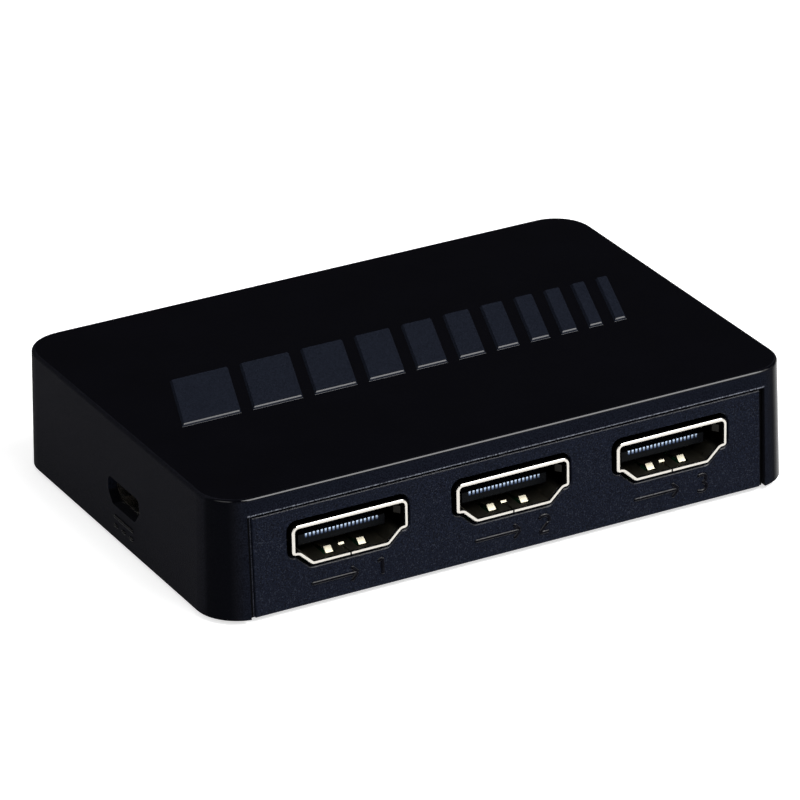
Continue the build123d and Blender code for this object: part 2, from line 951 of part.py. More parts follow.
def light_guide():
    """Clear moulding: a prong with a mirror corner for each lamp, joined by a bar on two pegs."""
    tip = panel_distance(0, button_z) + guide_proud
    turn = tip - guide_reach
    low = board_top + lamp_height + lamp_gap
    prongs = []
    for x in lamp_places():
        prong = Pos(x - button_x, 0, 0) * place_button(rod(guide_radius, turn - guide_radius, tip))
        prong += Pos(x, turn, 0) * rod(guide_radius, low, button_z + guide_radius)
        half = guide_radius + overrun
        mirror_cut = block((-half, half), (-guide_reach, guide_reach), (0, guide_reach))
        prong -= Pos(x, turn, button_z) * Rot(45, 0, 0) * mirror_cut
        prongs.append(prong)
    row = lamp_places()
    bar_y = (turn - guide_bar / 2, turn + guide_bar / 2)
    bar_z = (low + guide_bar / 4, low + guide_bar / 4 + guide_bar)
    end = guide_radius + guide_peg
    guide = block((row[0] - end, row[-1] + end), bar_y, bar_z)
    for prong in prongs:
        guide += prong
    for x in (row[0] - end, row[-1] + end - guide_peg):
        guide += block((x, x + guide_peg), bar_y, (board_top, bar_z[1]))
    return guide


def indicator_lamps():
    """Three small lamps on the board, each under its prong of the light guide."""
    y = panel_distance(0, button_z) + guide_proud - guide_reach
    lamps = []
    for x in lamp_places():
        x_range = (x - lamp_length / 2, x + lamp_length / 2)
        y_range = (y - lamp_width / 2, y + lamp_width / 2)
        base = block(x_range, y_range, (board_top, board_top + lamp_height / 2))
        top = base.faces().sort_by(Axis.Z)[-1]
        lens = extrude(top, amount=lamp_height / 2, taper=chip_draft_degrees)
        lamps.append(base + lens)
    return lamps


def chip_body(length, width, height):
    """Moulded chip body on the board: two halves that taper away from the parting line."""
    middle = Plane.XY.offset(board_top + height / 2) * Rectangle(length, width)
    half = height / 2
    body = extrude(middle, amount=half, taper=chip_draft_degrees)
    return body + extrude(middle, amount=-half, taper=chip_draft_degrees)


def gull_leg(height, reach, width):
    """Leg that leaves a chip's side at y = 0 half-way up, slopes down and ends on the board."""
    half = chip_leg_sheet / 2
    points = [
        (half, board_top + height / 2),
        (reach / 2, board_top + half),
        (reach, board_top + half),
    ]
    return bent_strip(points, chip_leg_sheet, width)


def leg_row(count, pitch, distance, leg):
    """Row of legs along X at one distance from a chip's middle, pointing to +Y."""
    first = -pitch * (count - 1) / 2
    return [Pos(first + index * pitch, distance, 0) * leg for index in range(count)]


def switch_chip_pins():
    """Legs on all four sides of the switch chip."""
    leg = gull_leg(switch_chip_height, chip_leg_reach, chip_leg_width)
    row = leg_row(switch_chip_legs, chip_leg_pitch, switch_chip_size / 2, leg)
    place = Pos(switch_chip_x, switch_chip_y, 0)
    return [place * Rot(0, 0, turn) * pin for turn in (0, 90, 180, 270) for pin in row]


def control_chip_pins():
    """Legs on both long sides of the control chip."""
    leg = gull_leg(control_chip_height, chip_leg_reach, control_leg_width)
    row = leg_row(control_chip_legs, control_leg_pitch, control_chip_width / 2, leg)
    place = Pos(control_chip_x, control_chip_y, 0)
    return [place * Rot(0, 0, turn) * pin for turn in (90, 270) for pin in row]


def regulator_pins():
    """Three legs of the voltage regulator on one side and its wide tab on the other."""
    leg = gull_leg(regulator_height, chip_leg_reach, regulator_leg_width)
    tab = gull_leg(regulator_height, chip_leg_reach, regulator_tab_width)
    row = leg_row(regulator_legs, regulator_leg_pitch, regulator_width / 2, leg)
    row.append(Rot(0, 0, 180) * Pos(0, regulator_width / 2, 0) * tab)
    return [Pos(regulator_x, regulator_y, 0) * pin for pin in row]


def surge_arrays():
    """Two surge-protection arrays behind each video socket."""
    one = Pos(0, 0, board_top) * Box(
        surge_width, surge_length, surge_height, align=(Align.CENTER, Align.CENTER, Align.MIN)
    )
    y = mouth_distance - socket_length - surge_setback - surge_length / 2
    middles = [((index - 1) * socket_pitch, -y) for index in range(3)] + [(output_x, y)]
    places = [(x + side * surge_spread, y) for x, y in middles for side in (-1, 1)]
    return at_places(places, one)


def small_part_places(length):
    """Places round the switch chip for two rows of small parts of one length on each side."""
    x_out = switch_chip_size / 2 + chip_leg_reach + small_part_ring / 2 + length / 2
    steps = (-3, -1, 1, 3)
    return [
        (switch_chip_x + side * x_out, switch_chip_y + step * switch_chip_size / 8)
        for side in (-1, 1)
        for step in steps
    ]


def chip_capacitors():
    """Ceramic capacitors beside the switch chip: a slim body between two wider ends."""
    half = capacitor_length / 2
    edge = capacitor_width / 2
    waist = edge - capacitor_waist
    end = half - capacitor_end
    points = [
        (-half, -edge), (-end, -edge), (-end, -waist), (end, -waist), (end, -edge), (half, -edge),
        (half, edge), (end, edge), (end, waist), (-end, waist), (-end, edge), (-half, edge),
    ]
    foot = Plane.XY.offset(board_top) * make_face(Polyline(*points, close=True))
    one = extrude(foot, amount=capacitor_width)
    return at_places(small_part_places(capacitor_length), one)


def chip_resistors():
    """Chip resistors in an outer column next to each capacitor."""
    one = Pos(0, 0, board_top) * Box(
        resistor_length, resistor_width, resistor_height, align=(Align.CENTER, Align.CENTER, Align.MIN)
    )
    outwards = capacitor_length / 2 + resistor_length
    places = [
        (x + math.copysign(outwards, x - switch_chip_x), y)
        for x, y in small_part_places(capacitor_length)
    ]
    return at_places(places, one)


def write(node, shape):
    """Write one node's solids to its own file."""
    solids = shape if isinstance(shape, list) else [shape]
    export_step(Compound([solid for item in solids for solid in item.solids()]), f"parts/{node}.step")


os.makedirs("parts", exist_ok=True)

socket_shell = video_shell()
socket_contacts = video_contacts()
socket_insulator = video_insulator(socket_contacts)
for index in range(3):
    name = f"input_socket_{index + 1}"
    write(f"{name}_shell", place_input(index, socket_shell))
    write(f"{name}_insulator", place_input(index, socket_insulator))
    write(f"{name}_contacts", [place_input(index, contact) for contact in socket_contacts])
write("output_socket_shell", place_output(socket_shell))
write("output_socket_insulator", place_output(socket_insulator))
write("output_socket_contacts", [place_output(contact) for contact in socket_contacts])

power_pins = power_contacts()
write("power_socket_shell", place_power(power_shell()))
write("power_socket_insulator", place_power(power_insulator(power_pins)))
write("power_socket_contacts", [place_power(pin) for pin in power_pins])

write("top_cover", top_cover())
write("bottom_tray", bottom_tray())
write("case_screws", case_screws())
write("board_screws", board_screws())
write("rubber_feet", rubber_feet())
write("main_board", main_board())
write("select_button", select_button())
write("switch_body", switch_body())
write("switch_cover", switch_cover())
write("switch_plunger", switch_plunger())
write("switch_dome", switch_dome())
write("switch_terminals", switch_terminals(0))
write("light_guide", light_guide())
write("indicator_lamps", indicator_lamps())
chip = chip_body(switch_chip_size, switch_chip_size, switch_chip_height)
write("switch_chip", Pos(switch_chip_x, switch_chip_y, 0) * chip)
write("switch_chip_pins", switch_chip_pins())
chip = chip_body(control_chip_width, control_chip_length, control_chip_height)
write("control_chip", Pos(control_chip_x, control_chip_y, 0) * chip)
write("control_chip_pins", control_chip_pins())
chip = chip_body(regulator_length, regulator_width, regulator_height)
write("voltage_regulator", Pos(regulator_x, regulator_y, 0) * chip)
write("regulator_pins", regulator_pins())
write("surge_arrays", surge_arrays())
write("chip_capacitors", chip_capacitors())
write("chip_resistors", chip_resistors())
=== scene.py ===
# Three-input video switch box: finishes, signs, snap dome, light and camera. Lengths in metres.

import math

import bpy
import numpy as np
from mathutils import Matrix, Vector


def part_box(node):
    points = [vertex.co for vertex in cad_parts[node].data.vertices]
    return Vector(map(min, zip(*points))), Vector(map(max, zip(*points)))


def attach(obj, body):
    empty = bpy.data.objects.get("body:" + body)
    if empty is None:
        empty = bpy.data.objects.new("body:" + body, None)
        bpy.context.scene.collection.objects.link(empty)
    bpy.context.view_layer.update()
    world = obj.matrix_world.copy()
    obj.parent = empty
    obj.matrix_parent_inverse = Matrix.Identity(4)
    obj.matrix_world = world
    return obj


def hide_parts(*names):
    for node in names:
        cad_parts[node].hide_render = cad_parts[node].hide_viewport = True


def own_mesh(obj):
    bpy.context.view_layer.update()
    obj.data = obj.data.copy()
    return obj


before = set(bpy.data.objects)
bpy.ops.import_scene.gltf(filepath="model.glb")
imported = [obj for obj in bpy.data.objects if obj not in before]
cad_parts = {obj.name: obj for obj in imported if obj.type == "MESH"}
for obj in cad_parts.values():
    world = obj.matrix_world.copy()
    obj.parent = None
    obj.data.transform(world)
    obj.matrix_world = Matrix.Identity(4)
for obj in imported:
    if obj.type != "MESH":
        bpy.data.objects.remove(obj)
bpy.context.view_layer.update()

# Bottom tray: the floor and both end panels in one black moulding, spark-eroded to a fine
# matt grain, with painted glints: pale specks mixed into its colour. It is the first piece on
# the bench, so the way that finishes are built is given here.

GRAIN_LIMITS = (0.36, 0.66)
TRAY_GRAIN = 0.00015
TRAY_GRAIN_DEPTH = 0.00002
TRAY_EDGE_DEPTH = 0.000008
TRAY_CLOUD = 0.004
TRAY_ROUGHNESS = (0.5, 0.7)
TRAY_CLOUD_ROUGHNESS = 0.08
TRAY_GLOSS = 0.03
TRAY_EDGE_ROUGHNESS = (0.25, 0.45)
TRAY_EDGE_GLOSS = 0.5
TRAY_DARK = (0.002, 0.0025, 0.005, 1)
TRAY_LIGHT = (0.0095, 0.0125, 0.024, 1)
# Painted glints: their share, size, limits and colour, pale specks that stand in for light.
TRAY_PAINTED_GLINT = 0.3
PAINTED_GLINT_SIZE = 0.00017
PAINTED_GLINT_LIMITS = (0.56, 0.76)
PAINTED_GLINT_COLOUR = (0.07, 0.08, 0.11, 1)
BROKEN_EDGE_LIMITS = (0.45, 0.85)
FACE_EDGE = 0.03321
FACE_EDGE_BLUR = 0.00004
# Painted highlight along the ends of the face plates:
FACE_EDGE_HIGHLIGHT = 0.00016
EDGE_HIGHLIGHT_DARK = (0.008, 0.009, 0.014, 1)
EDGE_HIGHLIGHT_LIGHT = (0.07, 0.075, 0.095, 1)
# Painted shade behind the posts:
GAP_SHADE = (0.0008, 0.0008, 0.0012, 1)


class Wire:
    """An output of a shader node. Sums written with wires add Math nodes to their finish."""

    def __init__(self, finish, socket):
        self.finish = finish
        self.socket = socket

    def maths(self, operation, first, second):
        """Wire of a Math node on two values, either of which may be a plain number."""
        return self.finish.node("ShaderNodeMath", {"operation": operation}, {0: first, 1: second})

    def __add__(self, other):
        return self.maths("ADD", self, other)

    def __radd__(self, other):
        return self.maths("ADD", other, self)

    def __sub__(self, other):
        return self.maths("SUBTRACT", self, other)

    def __rsub__(self, other):
        return self.maths("SUBTRACT", other, self)

    def __mul__(self, other):
        return self.maths("MULTIPLY", self, other)

    def __rmul__(self, other):
        return self.maths("MULTIPLY", other, self)


class Finish:
    """A shader built node by node in its owner, which is a new material or the world."""

    def __init__(self, owner, end="ShaderNodeOutputMaterial"):
        self.owner = bpy.data.materials.new(owner) if isinstance(owner, str) else owner
        self.owner.use_nodes = True
        self.tree = self.owner.node_tree
        self.tree.nodes.clear()
        self.end = end

    def node(self, kind, settings, links, output=0):
        """One node of a kind: its settings first, then the values or wires of its sockets."""
        node = self.tree.nodes.new(kind)
        for name, value in settings.items():
            setattr(node, name, value)
        for name, value in links.items():
            if isinstance(value, Wire):
                self.tree.links.new(value.socket, node.inputs[name])
            else:
                node.inputs[name].default_value = value
        return Wire(self, node.outputs[output]) if node.outputs else None

    def place(self):
        """Object coordinates, in metres."""
        return self.node("ShaderNodeTexCoord", {}, {}, "Object")

    def facing(self):
        """The way that the surface faces, as a vector of length 1."""
        return self.node("ShaderNodeNewGeometry", {}, {}, "Normal")

    def noise(self, grain, detail, roughness=0.5):
        """Even noise from 0 to 1 whose features are about one grain, in metres, across."""
        return self.node(
            "ShaderNodeTexNoise",
            {"noise_dimensions": "3D"},
            {"Vector": self.place(), "Scale": 1 / grain, "Detail": detail, "Roughness": roughness},
            "Fac",
        )

    def between(self, amount, first, second):
        """Colour that goes from the first to the second as an amount goes from 0 to 1."""
        mix = {"data_type": "RGBA", "blend_type": "MIX"}
        colours = {0: amount, 6: first, 7: second}
        return self.node("ShaderNodeMix", mix, colours, 2)

    def spread(self, amount, first, second):
        """Number that goes from the first to the second as an amount goes from 0 to 1."""
        return first + (second - first) * amount

    def relief(self, height, depth):
        """Bump normal of a height from 0 to 1 that stands for a depth in metres."""
        links = {"Height": height, "Distance": depth, "Strength": 1.0}
        return self.node("ShaderNodeBump", {}, links, "Normal")

    def ramp(self, amount, start, end):
        """0 up to the start, 1 from the end on, and a straight line between them."""
        limits = {"Value": amount, "From Min": start, "From Max": end}
        return self.node("ShaderNodeMapRange", {}, limits)

    def band(self, amount, start, end, blur):
        """1 from the start to the end and 0 outside, with blurred limits."""
        return self.ramp(amount, start, start + blur) * (1 - self.ramp(amount, end - blur, end))

    def size_of(self, amount):
        """An amount without its sign."""
        return self.node("ShaderNodeMath", {"operation": "ABSOLUTE"}, {0: amount})

    def part_of(self, vector, axis):
        """One of the parts X, Y and Z of a vector."""
        return self.node("ShaderNodeSeparateXYZ", {}, {"Vector": vector}, axis)

    def broken_edge(self):
        """1 on faces that slope half-way between level and upright, 0 on level and upright ones.

        With n the upward part of the normal, 4 n^2 (1 - n^2) is 1 at 45 degrees.
        """
        rise = self.part_of(self.facing(), "Z")
        return self.ramp(4 * rise * rise * (1 - rise * rise), *BROKEN_EDGE_LIMITS)

    def ray_kinds(self, *kinds):
        """1 for rays of any of these kinds, otherwise 0."""
        return sum(self.node("ShaderNodeLightPath", {}, {}, f"Is {kind} Ray") for kind in kinds)

    def shader(self, links):
        """A Principled shader with these sockets."""
        return self.node("ShaderNodeBsdfPrincipled", {}, links, "BSDF")

    def surface(self, links):
        """Close the material with one Principled shader."""
        return self.close(self.shader(links))

    def two_surfaces(self, share, first, second):
        """Close the material with two Principled shaders: the second one where the share is 1."""
        both = {0: share, 1: self.shader(first), 2: self.shader(second)}
        return self.close(self.node("ShaderNodeMixShader", {}, both))

    def close(self, shader):
        """Send a shader to the output and give the owner."""
        self.node(self.end, {}, {"Surface": shader})
        return self.owner


def dress(material, *nodes):
    """Put a material on every slot of these nodes."""
    for name in nodes:
        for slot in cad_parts[name].material_slots:
            slot.material = material


def matt_moulding(name, dark, light, painted_glint):
    """Spark-eroded moulding: a dull grain between two colours, and edges that catch the light.

    The face plates have a painted highlight, a paler band at their ends. Past them, behind the
    posts, the colour is painted shade, near black.
    """
    finish = Finish(name)
    grain = finish.ramp(finish.noise(TRAY_GRAIN, 2.0, 0.6), *GRAIN_LIMITS)
    cloud = finish.noise(TRAY_CLOUD, 3.0)
    # Painted glints: sparse pale specks in the colour, standing in for light.
    painted_glints = painted_glint * finish.ramp(finish.noise(PAINTED_GLINT_SIZE, 1.0), *PAINTED_GLINT_LIMITS)
    colour = finish.between(painted_glints, finish.between(grain, dark, light), PAINTED_GLINT_COLOUR)
    reach = finish.size_of(finish.part_of(finish.place(), "X"))
    # Painted highlight: a paler band along each end of the face plates.
    painted_edge_highlight = finish.band(reach, FACE_EDGE - FACE_EDGE_HIGHLIGHT, FACE_EDGE, FACE_EDGE_BLUR)
    colour = finish.between(painted_edge_highlight, colour, finish.between(grain, EDGE_HIGHLIGHT_DARK, EDGE_HIGHLIGHT_LIGHT))
    # Painted shade: near black past the face plates, in the gap behind the posts.
    painted_gap_shade = finish.ramp(reach, FACE_EDGE, FACE_EDGE + FACE_EDGE_BLUR)
    colour = finish.between(painted_gap_shade, colour, GAP_SHADE)
    dull = {
        "Base Color": colour,
        "Roughness": finish.spread(grain, *TRAY_ROUGHNESS) + TRAY_CLOUD_ROUGHNESS * cloud,
        "Specular IOR Level": TRAY_GLOSS,
        "Normal": finish.relief(grain, TRAY_GRAIN_DEPTH),
    }
    edge = {
        "Base Color": colour,
        "Roughness": finish.spread(grain, *TRAY_EDGE_ROUGHNESS),
        "Specular IOR Level": TRAY_EDGE_GLOSS,
        "Normal": finish.relief(grain, TRAY_EDGE_DEPTH),
    }
    return finish.two_surfaces(finish.broken_edge(), dull, edge)


dress(matt_moulding("matt moulding", TRAY_DARK, TRAY_LIGHT, TRAY_PAINTED_GLINT), "bottom_tray")

# Port signs: an arrow and a plain number under each input socket, moulded in relief with the
# front panel. Each stroke is a low rounded ridge that follows the panel's slope.

PORT_SIGN_HEIGHT = 0.0021
PORT_SIGN_FOOT = 0.0014
STROKE_HALF_WIDTH = 0.00023
STROKE_HEIGHT = 0.0002
STROKE_SINK = 0.00003
STROKE_RING = 9
STROKE_END_STEPS = (0.0, 0.08, 0.3, 0.65, 1.0)
STROKE_END_CLEAR = 1.2
LINE_POINTS = 7
ARC_POINTS = 25
ARROW_START = -0.0050
ARROW_END = 0.0010
ARROW_BARB = 0.0009
NUMBER_SHIFT = 0.0041
NUMBER_WIDTH = 0.0013
WALL_FLARE = 0.00041
CASE_HEIGHT = 0.0148
PANEL_SLOPE = WALL_FLARE / CASE_HEIGHT
# Sign colours, far darker than the panel that they are moulded with: painted shade.
SIGN_SHADE_DARK = (0.001, 0.001, 0.002, 1)
SIGN_SHADE_LIGHT = (0.003, 0.003, 0.006, 1)
SIGN_PAINTED_GLINT = 0.1


def line_path(start, end):
    """Points of a straight stroke, evenly spaced from start to end."""
    share = np.linspace(0, 1, LINE_POINTS)[:, None]
    return (1 - share) * np.array(start) + share * np.array(end)


def arc_path(centre, radii, first, last):
    """Points of an elliptical stroke between two angles in degrees."""
    angle = np.radians(np.linspace(first, last, ARC_POINTS))
    return np.array(centre) + np.stack([radii[0] * np.cos(angle), radii[1] * np.sin(angle)], 1)


def arrow_paths(start, end, barb):
    """Strokes of an arrow that points along +u: the shaft and two barbs."""
    return [
        line_path((start, 0), (end, 0)),
        line_path((end, 0), (end - barb, barb)),
        line_path((end, 0), (end - barb, -barb)),
    ]


def number_paths(number, width, height):
    """Strokes of a plain number from 1 to 3 in a box about the origin.

    Lines and arcs are placed by shares of the box's half width w and half height h.
    """
    w, h = width / 2, height / 2
    if number == 1:
        return [line_path((0, -h), (0, h)), line_path((0, h), (-w, h * 0.6))]
    if number == 2:
        bowl = arc_path((0, h * 0.45), (w, h * 0.55), 165, -35)
        return [bowl, line_path(bowl[-1], (-w, -h)), line_path((-w, -h), (w, -h))]
    upper = arc_path((0, h * 0.52), (w * 0.9, h * 0.48), 150, -90)
    lower = arc_path((0, -h * 0.48), (w, h * 0.52), 90, -150)
    return [upper, lower]


def ends_drawn_in(path):
    """The path with its first and last runs cut into steps that let the ridge round off."""
    steps = STROKE_HALF_WIDTH * np.array(STROKE_END_STEPS)[:, None]
    head = path[1] - path[0]
    tail = path[-2] - path[-1]
    first = path[0] + head / np.linalg.norm(head) * steps
    last = path[-1] + tail / np.linalg.norm(tail) * steps
    inner = path[1:-1]
    clear = STROKE_END_CLEAR * STROKE_HALF_WIDTH
    keep = np.linalg.norm(inner - path[0], axis=1) > clear
    keep &= np.linalg.norm(inner - path[-1], axis=1) > clear
    return np.concatenate([first, inner[keep], last[::-1]])


def ridge_rings(path):
    """Rings of a ridge along a path (u, v): half an ellipse above the ground and a flat foot.

    Ring i, point j is path[i] + side[i] * width * cos(t_j), raised by height * sin(t_j), and
    both are drawn in to nothing at the ends along a quarter circle.
    """
    run = np.gradient(path, axis=0)
    run /= np.linalg.norm(run, axis=1, keepdims=True)
    side = np.stack([-run[:, 1], run[:, 0]], 1)
    along = np.concatenate([[0], np.cumsum(np.linalg.norm(np.diff(path, axis=0), axis=1))])
    near_end = np.minimum(along, along[-1] - along) / STROKE_HALF_WIDTH
    taper = np.sqrt(1 - (1 - np.clip(near_end, 0, 1)) ** 2)
    turn = np.linspace(0, math.pi, STROKE_RING)
    across = STROKE_HALF_WIDTH * taper[:, None] * np.cos(turn)
    up = STROKE_HEIGHT * taper[:, None] * np.sin(turn) - STROKE_SINK
    flat = path[:, None, :] + side[:, None, :] * across[:, :, None]
    return np.concatenate([flat, up[:, :, None]], 2)


def new_piece(name, corners, faces):
    """Smooth-shaded object at the origin, made of corner points and faces, in the scene."""
    mesh = bpy.data.meshes.new(name)
    mesh.from_pydata(np.asarray(corners).tolist(), [], faces)
    mesh.validate()
    mesh.polygons.foreach_set("use_smooth", [True] * len(mesh.polygons))
    piece = bpy.data.objects.new(name, mesh)
    bpy.context.scene.collection.objects.link(piece)
    return piece


def ridge_piece(name, paths, ground):
    """One piece of closed ridges, each a point, its inner rings and a point.

    ground(points) takes rows (u, v, raise) and gives their places in space.
    """
    corners, faces = [], []
    for path in paths:
        rings = ridge_rings(ends_drawn_in(path))
        first = sum(len(block) for block in corners)
        inner = rings[1:-1].reshape(-1, 3)
        corners.append(ground(np.concatenate([rings[0, :1], inner, rings[-1, :1]])))
        index = first + 1 + np.arange(len(inner)).reshape(-1, STROKE_RING)
        last = index[-1, -1] + 1
        turned = np.roll(index, -1, axis=1)
        quads = np.stack([index[:-1], turned[:-1], turned[1:], index[1:]], -1)
        faces += quads.reshape(-1, 4).tolist()
        ends = np.full((2, STROKE_RING), [[first], [last]])
        faces += np.stack([ends[0], turned[0], index[0]], 1).tolist()
        faces += np.stack([ends[1], index[-1], turned[-1]], 1).tolist()
    return new_piece(name, np.concatenate(corners), faces)


def front_ground(points):
    """Places on the sloping front panel, u to the right and v up from the signs' middle."""
    y = tray_low.y + (sign_middle + points[:, 1] - tray_low.z) * PANEL_SLOPE
    return np.stack([points[:, 0], y - points[:, 2], sign_middle + points[:, 1]], 1)


tray_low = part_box("bottom_tray")[0]
sign_middle = tray_low.z + PORT_SIGN_FOOT + PORT_SIGN_HEIGHT / 2
# Painted shade: the signs take a darker colour than the panel.
sign_painted_shade = matt_moulding("sign moulding", SIGN_SHADE_DARK, SIGN_SHADE_LIGHT, SIGN_PAINTED_GLINT)
for number in (1, 2, 3):
    low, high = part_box(f"input_socket_{number}_shell")
    middle = (low.x + high.x) / 2
    strokes = [path + (middle, 0) for path in arrow_paths(ARROW_START, ARROW_END, ARROW_BARB)]
    shift = middle + NUMBER_SHIFT
    strokes += [path + (shift, 0) for path in number_paths(number, NUMBER_WIDTH, PORT_SIGN_HEIGHT)]
    sign = ridge_piece(f"port_sign_{number}", strokes, front_ground)
    sign.data.materials.append(sign_painted_shade)
    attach(sign, "housing")

# Main board and what is soldered to it: green solder mask on glass laminate, black moulded
# chips, tinned legs, and fired ceramic parts. All of it is hidden once the case is shut.

MASK_GREEN = (0.003, 0.026, 0.01, 1)
COPPER_GREEN = (0.006, 0.05, 0.019, 1)
POUR_SIZE = 0.0045
POUR_LIMITS = (0.48, 0.52)
WEAVE_SIZE = 0.0004
WEAVE_DEPTH = 0.000008
BOARD_ROUGHNESS = (0.22, 0.36)
COMPOUND_GRAIN = 0.00012
COMPOUND_DEPTH = 0.000006
COMPOUND_GLOSS = 0.3
CHIP_DARK = (0.012, 0.012, 0.013, 1)
CHIP_LIGHT = (0.02, 0.02, 0.022, 1)
CHIP_ROUGHNESS = (0.45, 0.65)
CERAMIC_DARK = (0.32, 0.23, 0.13, 1)
CERAMIC_LIGHT = (0.5, 0.38, 0.24, 1)
CERAMIC_ROUGHNESS = (0.35, 0.55)
LAMP_DARK = (0.62, 0.6, 0.5, 1)
LAMP_LIGHT = (0.8, 0.79, 0.72, 1)
LAMP_ROUGHNESS = (0.25, 0.4)
METAL_SHADE = 0.82
METAL_DEPTH = 0.000002
CONTACT_GRAIN = 0.0002
CONTACT_TIN = (0.62, 0.68, 0.76, 1)
CONTACT_ROUGHNESS = (0.22, 0.38)


def board_laminate():
    """Solder mask over copper pours: green, glossy, a little lighter where copper lies under it."""
    finish = Finish("board laminate")
    pour = finish.ramp(finish.noise(POUR_SIZE, 1.0), *POUR_LIMITS)
    weave = finish.noise(WEAVE_SIZE, 1.0)
    return finish.surface(
        {
            "Base Color": finish.between(pour, MASK_GREEN, COPPER_GREEN),
            "Roughness": finish.spread(weave, *BOARD_ROUGHNESS),
            "Normal": finish.relief(weave, WEAVE_DEPTH),
        }
    )


def moulding_compound(name, dark, light, roughness, gloss=COMPOUND_GLOSS):
    """Fine-grained moulded plastic or ceramic between two colours and a pair of roughnesses."""
    finish = Finish(name)
    grain = finish.noise(COMPOUND_GRAIN, 2.0)
    return finish.surface(
        {
            "Base Color": finish.between(grain, dark, light),
            "Roughness": finish.spread(grain, *roughness),
            "Specular IOR Level": gloss,
            "Normal": finish.relief(grain, COMPOUND_DEPTH),
        }
    )


def plated_metal(name, colour, roughness, grain_size):
    """Plated metal with fine rolling marks that roughen it unevenly, between two roughnesses."""
    finish = Finish(name)
    grain = finish.noise(grain_size, 3.0, 0.6)
    shade = tuple(METAL_SHADE * part for part in colour[:3]) + (1,)
    return finish.surface(
        {
            "Base Color": finish.between(grain, shade, colour),
            "Metallic": 1.0,
            "Roughness": finish.spread(grain, *roughness),
            "Normal": finish.relief(grain, METAL_DEPTH),
        }
    )


contact_tin = plated_metal("contact tin", CONTACT_TIN, CONTACT_ROUGHNESS, CONTACT_GRAIN)
chip_black = moulding_compound("chip black", CHIP_DARK, CHIP_LIGHT, CHIP_ROUGHNESS)
ceramic = moulding_compound("ceramic", CERAMIC_DARK, CERAMIC_LIGHT, CERAMIC_ROUGHNESS)
lamp_resin = moulding_compound("lamp resin", LAMP_DARK, LAMP_LIGHT, LAMP_ROUGHNESS)
dress(board_laminate(), "main_board")
dress(
    chip_black, "switch_chip", "control_chip", "voltage_regulator", "surge_arrays", "chip_resistors"
)
dress(contact_tin, "switch_chip_pins", "control_chip_pins", "regulator_pins")
dress(ceramic, "chip_capacitors")
dress(lamp_resin, "indicator_lamps")

# Sockets: stamped and folded shells of nickel-plated steel, black glass-filled mouldings with
# a tongue, and tinned contacts that hook over the tongue's nose. The shell's front edge is
# bright; inside it, painted shade makes the spring fingers on the base a dimmer, warmer grey
# and the walls above them near black.

RIM_DEPTH = 0.0002
INSIDE_DEPTH = 0.0005
FINGER_TOP = 0.0070
WALL_BOTTOM = 0.0074
NOSE_FOOT = 0.0079
NOSE_TOP = 0.0084
STEEL_GRAIN = 0.0006
STEEL_ROUGHNESS = (0.12, 0.26)
INSIDE_ROUGHNESS = 0.12
RIM_DARK = (0.5, 0.48, 0.44, 1)
RIM_LIGHT = (0.6, 0.575, 0.53, 1)
# Inside colours, darker than the rim: painted shade.
LINING_BASE = (0.4, 0.37, 0.29, 1)
WALL_PAINTED_SHADE = (0.014, 0.0135, 0.0125, 1)
# Nose colours: painted blue-black shade below, painted highlight at the top.
NOSE_SHADE_BLUE = (0.012, 0.022, 0.06, 1)
NOSE_HIGHLIGHT = (0.5, 0.62, 0.8, 1)
NOSE_ROUGHNESS = (0.24, 0.38)
PLAIN_STEEL = (0.66, 0.63, 0.58, 1)
TONGUE_DARK = (0.0025, 0.003, 0.004, 1)
TONGUE_LIGHT = (0.005, 0.006, 0.008, 1)
TONGUE_ROUGHNESS = (0.4, 0.6)
TONGUE_GLOSS = 0.05


def shell_steel():
    """Nickel plating, bright on the rim, with painted shade inside: dim warm base, near-black
    walls.
    """
    finish = Finish("shell steel")
    grain = finish.noise(STEEL_GRAIN, 3.0, 0.6)
    depth = mouth_distance - finish.size_of(finish.part_of(finish.place(), "Y"))
    # Painted shade: the colour darkens inside the mouth, to near black on the walls above the
    # fingers.
    inside = finish.ramp(depth, RIM_DEPTH, INSIDE_DEPTH)
    wall = finish.ramp(finish.part_of(finish.place(), "Z"), FINGER_TOP, WALL_BOTTOM)
    rim = finish.between(grain, RIM_DARK, RIM_LIGHT)
    lining = finish.between(wall, LINING_BASE, WALL_PAINTED_SHADE)
    return finish.surface(
        {
            "Base Color": finish.between(inside, rim, lining),
            "Metallic": 1.0,
            "Roughness": finish.spread(grain, *STEEL_ROUGHNESS) + INSIDE_ROUGHNESS * inside,
            "Normal": finish.relief(grain, METAL_DEPTH),
        }
    )


def nose_tin():
    """Tinned contacts: a painted highlight at the tongue's top edge, painted blue-black shade down
    the noses.
    """
    finish = Finish("nose tin")
    grain = finish.noise(CONTACT_GRAIN, 3.0, 0.6)
    # Painted highlight: the colour brightens up the noses towards the top edge.
    top = finish.ramp(finish.part_of(finish.place(), "Z"), NOSE_FOOT, NOSE_TOP)
    return finish.surface(
        {
            "Base Color": finish.between(top * top, NOSE_SHADE_BLUE, NOSE_HIGHLIGHT),
            "Metallic": 1.0,
            "Roughness": finish.spread(grain, *NOSE_ROUGHNESS),
            "Normal": finish.relief(grain, METAL_DEPTH),
        }
    )


